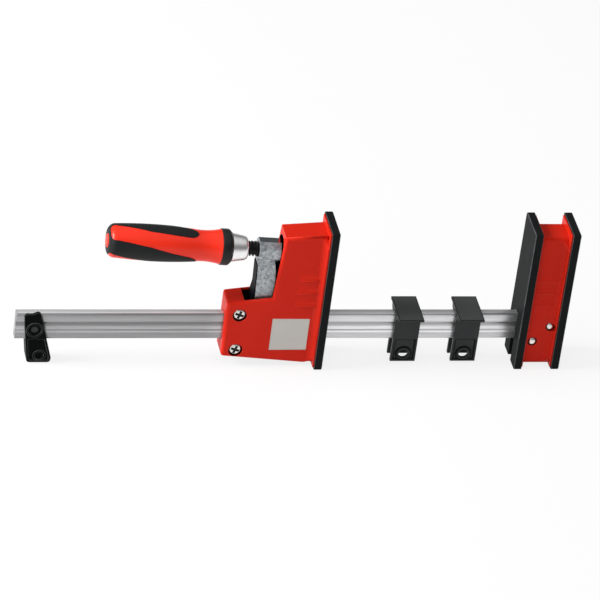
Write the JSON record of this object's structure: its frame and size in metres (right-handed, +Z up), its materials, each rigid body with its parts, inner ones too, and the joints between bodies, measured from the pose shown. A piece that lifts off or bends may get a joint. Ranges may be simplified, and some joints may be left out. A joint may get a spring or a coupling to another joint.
{
  "type": "parallel clamp",
  "caption": "Parallel-jaw bar clamp: grooved steel rail, fixed head, sliding head with screw handle and canting lock arm, sliding rail supports and an end clip.",
  "frame": {"origin": "on the plane the jaws stand on, under the middle of the overall length and width", "axes": "+X along the rail from the free end to the fixed head, +Y across the jaws, +Z up along the jaws"},
  "size_m": [0.504, 0.04, 0.146],
  "materials": {
    "rail": "drawn bright steel with fine lengthwise lines",
    "red_housing": "satin red moulding",
    "black_pad": "matt black moulding",
    "black_clip": "matt black moulding",
    "steel": "plain steel",
    "core_steel": "pressed steel, hidden",
    "zinc_screw": "zinc plated",
    "plate": "plain brushed plate",
    "arm": "zinc plated casting with a fine grain",
    "spring": "spring steel",
    "black_screw": "blackened thread",
    "chrome_ferrule": "bright, lightly brushed",
    "black_collar": "matt black moulding",
    "red_handle": "red moulding",
    "soft_grip": "soft black overmoulding"
  },
  "bodies": {
    "frame": {"rail": "rail", "fixed_housing": "red_housing", "fixed_core": "core_steel", "fixed_front_pad": "black_pad", "fixed_back_pad": "black_pad", "fixed_rivets": "zinc_screw", "end_clip": "black_clip", "end_clip_peg": "black_clip"},
    "jaw": {"sliding_housing": "red_housing", "sliding_pad": "black_pad", "jaw_core": "core_steel", "thrust_seat": "steel", "rear_guide": "core_steel", "guide_screws": "zinc_screw", "guide_nuts": "zinc_screw", "face_plate": "plate"},
    "cap": {"thrust_cap": "steel"},
    "spindle": {"spindle": "black_screw", "retaining_ring": "spring", "ferrule": "chrome_ferrule", "grip_collar": "black_collar", "handle_core": "red_handle", "handle_grips": "soft_grip"},
    "arm": {"locking_arm": "arm", "arm_spring": "spring"},
    "support_1": {"rail_support_1": "black_clip"},
    "support_2": {"rail_support_2": "black_clip"}
  },
  "joints": [
    {"name": "head_slide", "type": "slide", "parent": "frame", "child": "jaw", "axis": [1, 0, 0], "range_m": [-0.1545, 0.04]},
    {"name": "arm_cant", "type": "hinge", "parent": "jaw", "child": "cap", "pos_m": [0.0065, 0, 0.1153], "axis": [0, 1, 0], "range_deg": [0, 1.5]},
    {"name": "spindle_turn", "type": "hinge", "parent": "cap", "child": "spindle", "pos_m": [0.0065, 0, 0.1153], "axis": [0.998, 0, -0.0624], "range_deg": [-1440, 540]},
    {"name": "arm_advance", "type": "slide", "parent": "cap", "child": "arm", "axis": [-0.998, 0, 0.0624], "range_m": [-0.01205, 0.00455]},
    {"name": "support_1_slide", "type": "slide", "parent": "frame", "child": "support_1", "axis": [1, 0, 0], "range_m": [-0.024, 0.014]},
    {"name": "support_2_slide", "type": "slide", "parent": "frame", "child": "support_2", "axis": [1, 0, 0], "range_m": [-0.018, 0.033]}
  ],
  "couplings": [
    {"joint": "arm_advance", "follows": "spindle_turn", "m_per_rad": 0.00047746}
  ]
}
